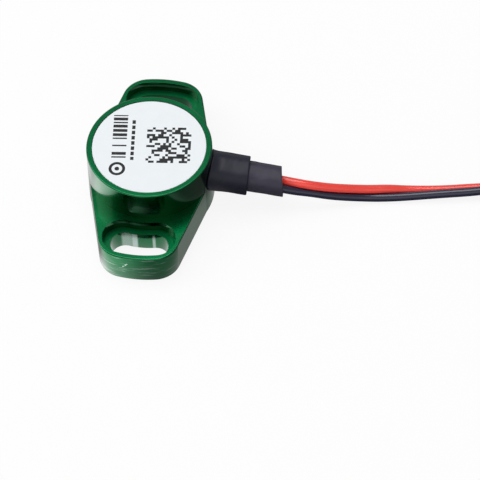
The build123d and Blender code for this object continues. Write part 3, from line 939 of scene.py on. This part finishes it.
class SENSOR_OT_coil_tie(Operator):
    """Close the tie round the put-away coil"""

    bl_idname = "sensor.coil_tie"
    bl_label = "Coil tie"

    def execute(self, context):
        size = context.scene.sensor_leads
        coil = Coil(size, BLACK_ROUTE)
        radii = [coil.radius(size.tie_turn + turn) for turn in range(int(coil.turns))]
        slack = 0.03 * MM
        gap = size.diameter / 2 + slack
        inner, outer = min(radii) - gap, max(radii) + gap
        top = coil.height + 2 * size.layer_pitch + gap
        made = self.band(outer - inner, top - size.tie_thickness, size)
        spin = coil.start_angle + tau * size.tie_turn
        standing = Matrix.Rotation(spin, 4, "Z") @ Matrix.Rotation(pi / 2, 4, "X")
        middle = (inner + outer) / 2
        place = coil.centre + Matrix.Rotation(spin, 3, "Z") @ Vector((middle, 0, 0))
        place.z = (top + size.tie_thickness) / 2
        made.data.transform(Matrix.Translation(place) @ standing)
        nylon = moulded("natural nylon", (0.8, 0.79, 0.74), (0.7, 0.69, 0.63), 0.4)
        dress(made, nylon, "nylon", "coil_tie")
        return {"FINISHED"}

    def band(self, width, height, size):
        """A flat strap with rounded corners, closed by its head, lying round the origin."""
        corner = 0.35 * MM
        half_width, half_height = width / 2 - corner, height / 2 - corner
        work = bmesh.new()
        tip = work.verts.new((half_width + corner, -half_height, 0))
        for across, upward in ((1, 1), (-1, 1), (-1, -1), (1, -1)):
            centre = Vector((across * half_width, upward * half_height, 0))
            start = Vector((corner, 0, 0)) if across == upward else Vector((0, corner, 0))
            tip = straight(work, tip, centre + start * upward)
            tip = arc(work, tip, centre, pi / 2, steps=8)
        bmesh.ops.remove_doubles(work, verts=work.verts, dist=NEAR)
        raise_drawn(work, bmesh.ops.extrude_edge_only(work, edges=work.edges[:]), size.tie_width)
        bmesh.ops.translate(work, verts=work.verts, vec=(0, 0, -size.tie_width / 2))
        bmesh.ops.recalc_face_normals(work, faces=work.faces)
        bmesh.ops.solidify(work, geom=work.faces, thickness=-size.tie_thickness)
        bmesh.ops.recalc_face_normals(work, faces=work.faces)
        rims = [edge for edge in work.edges if len(edge.link_faces) == 2 and edge.calc_face_angle() > SHARP]
        round_edges(work, rims, width=0.05 * MM, segments=2)
        outside = width / 2 + size.tie_thickness
        head, tail = Vector((0.9, 1.7, 1.5)) * MM, Vector((0.2, 1.2, 1.1)) * MM
        self.block(work, (outside + 0.38 * MM, 0, 0), head)
        self.block(work, (outside + 0.4 * MM, 1.2 * MM, 0), tail)
        return finish_mesh(work, "cable_tie")

    def block(self, work, middle, sizes):
        """A small rounded block."""
        place = Matrix.Translation(middle) @ Matrix.Diagonal((*sizes, 1))
        made = bmesh.ops.create_cube(work, size=1, matrix=place)["verts"]
        edges = {edge for vertex in made for edge in vertex.link_edges}
        round_edges(work, list(edges), width=min(sizes) * 0.2, segments=2)


class SENSOR_OT_inner_parts(Operator):
    """Finish the pieces inside the sensor"""

    bl_idname = "sensor.inner_parts"
    bl_label = "Inner parts"

    def execute(self, context):
        leads = context.scene.sensor_leads
        tin = tinned_copper()
        resin = moulded("moulded chip resin", (0.03, 0.03, 0.033), (0.018, 0.018, 0.02), 0.5)
        finishes = {
            "base_cover": moulded("black laminate", (0.03, 0.03, 0.032), (0.018, 0.018, 0.02), 0.45),
            "circuit_board": circuit_laminate(),
            "hall_chip": resin,
            "protection_diode": resin,
            "hall_chip_leads": tin,
            "component_terminals": tin,
            "solder_joints": tin,
            "red_wire_core": tin,
            "black_wire_core": tin,
            "bypass_capacitors": moulded("tan ceramic", (0.5, 0.35, 0.2), (0.42, 0.28, 0.15), 0.35),
            "sense_resistor": moulded("black glaze", (0.035, 0.035, 0.04), (0.02, 0.02, 0.024), 0.25),
            "potting_compound": moulded("potting resin", (0.025, 0.025, 0.028), (0.014, 0.014, 0.016), 0.3),
            "cable_ferrule": moulded("plated ferrule", (0.6, 0.58, 0.54), (0.5, 0.48, 0.45), 0.3),
            "sleeve_adhesive": moulded("hot-melt lining", (0.55, 0.42, 0.22), (0.45, 0.33, 0.16), 0.35),
            "red_wire_inner": lead_insulation("inner red insulation", leads.red),
            "black_wire_inner": lead_insulation("inner black insulation", leads.black),
        }
        for node, material in finishes.items():
            coat(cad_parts[node], material)
        return {"FINISHED"}


class SENSOR_OT_stage(Operator):
    """Set up the camera, the lights, the floor and the white surroundings"""

    bl_idname = "sensor.stage"
    bl_label = "Stage"

    def execute(self, context):
        scene = context.scene
        scene.view_settings.view_transform = "Standard"
        self.camera(scene)
        self.floor()
        self.surroundings(scene)
        self.lamp("overhead light", turn=120, lift=77, side=0.28, share=0.41)
        self.lamp("left light", turn=176, lift=40, side=0.25, share=0.20)
        self.lamp("front light", turn=-78, lift=32, side=0.42, share=0.08)
        return {"FINISHED"}

    def camera(self, scene):
        """A camera that looks from the photograph's place, with its tilt."""
        size = scene.sensor_stage
        lift, turn = size.elevation, size.azimuth
        right = spoke(turn)
        ahead = Vector((-sin(turn), cos(turn), 0))
        up = ahead * sin(lift) + ABOUT_Z * cos(lift)
        forward = ahead * cos(lift) - ABOUT_Z * sin(lift)
        aim = right * size.aim_across + up * size.aim_up
        rolled_right = right * cos(size.roll) - up * sin(size.roll)
        rolled_up = right * sin(size.roll) + up * cos(size.roll)
        data = bpy.data.cameras.new("photograph view")
        data.sensor_width = 36
        data.lens = size.lens
        data.clip_start = 0.01
        made = new_object("photograph view", data)
        turned = Matrix((rolled_right, rolled_up, -forward)).transposed().to_4x4()
        made.matrix_world = Matrix.Translation(aim - forward * size.distance) @ turned
        scene.camera = made

    def floor(self):
        """A floor that the camera sees pale. For the metal it glows with painted light and painted shade:
        bright at the left and dimmer elsewhere.
        """
        work = bmesh.new()
        bmesh.ops.create_grid(work, x_segments=1, y_segments=1, size=0.6)
        made = finish_mesh(work, "floor")
        made.location.z = -0.005 * MM
        finish = Finish("pale floor")
        grain = finish.noise(60, 2.0)
        tone = finish.mix(grain, (0.92, 0.92, 0.92), (0.94, 0.94, 0.94))
        lit = finish.node("ShaderNodeBsdfDiffuse", {}, tone)
        x, y, _ = finish.axes()
        # Painted light for mirrored rays: a pool of light at the left, and painted shade at the right and
        # behind the puck.
        beside = y.ramp(-10.5 * MM, -8 * MM)
        far = 1 - 0.6 * y.ramp(-3.5 * MM, -0.5 * MM)
        left_in_front, left_beside = 1 - x.ramp(-4 * MM, 2 * MM), 1 - x.ramp(-8 * MM, -5.8 * MM)
        bright = (1 - beside) * left_in_front + beside * left_beside * far
        # Painted light at the back of the near slot, and painted shade in front of it.
        slot_back, slot_front = y.between(-8.5 * MM, -6.9 * MM), y.between(-10 * MM, -8.5 * MM)
        slot_light_and_shade = (abs(x) < 2.7 * MM) * (0.55 * slot_back - 0.36 * slot_front)
        seen, mirrored = finish.rays()
        reflected = 0.3 + 1.35 * bright + slot_light_and_shade - 0.25 * x.ramp(6 * MM, 8 * MM)
        white = finish.node("ShaderNodeEmission", {}, Strength=seen + (1 - seen) * reflected)
        share = (seen * 0.88).math("MAXIMUM", mirrored * 0.93)
        finish.end("ShaderNodeOutputMaterial", finish.node("ShaderNodeMixShader", {}, share, lit, white))
        made.data.materials.append(finish.material)

    def surroundings(self, scene):
        """White for the camera, for gloss a pale horizon at the back, and soft light from the front."""
        scene.world = bpy.data.worlds.new("studio")
        sky = Nodes(scene.world)
        seen, mirrored = sky.rays()
        ahead, height = sky.axes(sky.node("ShaderNodeTexCoord", {}, output=0))[1:]
        horizon = (1 - height.ramp(0.1, 0.5)) * ahead.ramp(-0.3, 0.5)
        soft = 0.3 + 0.28 * (1 - ahead.ramp(-0.9, 0.1))
        strength = seen + (1 - seen) * (mirrored * (0.3 + 0.6 * horizon) + (1 - mirrored) * soft)
        light = sky.node("ShaderNodeBackground", {}, Color=(1.0, 1.0, 1.0), Strength=strength)
        sky.end("ShaderNodeOutputWorld", light)

    def lamp(self, name, turn, lift, side, share):
        """A square soft light aimed at the sensor, which lights a white card there by a share of full."""
        distance = 0.45
        turn, lift = radians(turn), radians(lift)
        heading = Vector((cos(turn) * cos(lift), sin(turn) * cos(lift), sin(lift)))
        place = distance * heading
        data = bpy.data.lights.new(name, "AREA")
        data.size = side
        data.energy = share * pi**2 * place.length_squared / place.normalized().z
        faced = (-place).to_track_quat("-Z", "Y").to_matrix().to_4x4()
        new_object(name, data).matrix_world = Matrix.Translation(place) @ faced


STEPS = (
    SENSOR_OT_stage, SENSOR_OT_coil_tie, SENSOR_OT_leads, SENSOR_OT_housing, SENSOR_OT_label,
    SENSOR_OT_sleeves, SENSOR_OT_inner_parts,
)


class SENSOR_PT_build(Panel):
    """Lists the steps and their sizes"""

    bl_idname = "SENSOR_PT_build"
    bl_label = "Angle Sensor"
    bl_space_type = "VIEW_3D"
    bl_region_type = "UI"
    bl_category = "Sensor"

    def draw(self, context):
        for step in STEPS:
            self.layout.operator(step.bl_idname)
        for name in GROUPS:
            settings = getattr(context.scene, name)
            box = self.layout.box()
            box.label(text=name.replace("sensor_", "").title())
            for key in settings.__annotations__:
                box.prop(settings, key)


GROUPS = {
    "sensor_housing": HousingSettings,
    "sensor_label": LabelSettings,
    "sensor_sleeves": SleeveSettings,
    "sensor_leads": LeadSettings,
    "sensor_stage": StageSettings,
}


def register():
    for group in GROUPS.values():
        bpy.utils.register_class(group)
    for name, group in GROUPS.items():
        setattr(bpy.types.Scene, name, PointerProperty(type=group))
    for step in STEPS:
        bpy.utils.register_class(step)
    bpy.utils.register_class(SENSOR_PT_build)


def unregister():
    bpy.utils.unregister_class(SENSOR_PT_build)
    for step in reversed(STEPS):
        bpy.utils.unregister_class(step)
    for name in GROUPS:
        delattr(bpy.types.Scene, name)
    for group in reversed(GROUPS.values()):
        bpy.utils.unregister_class(group)


def main():
    register()
    for step in STEPS:
        group, name = step.bl_idname.split(".")
        getattr(getattr(bpy.ops, group), name)()


if __name__ == "__main__":
    main()
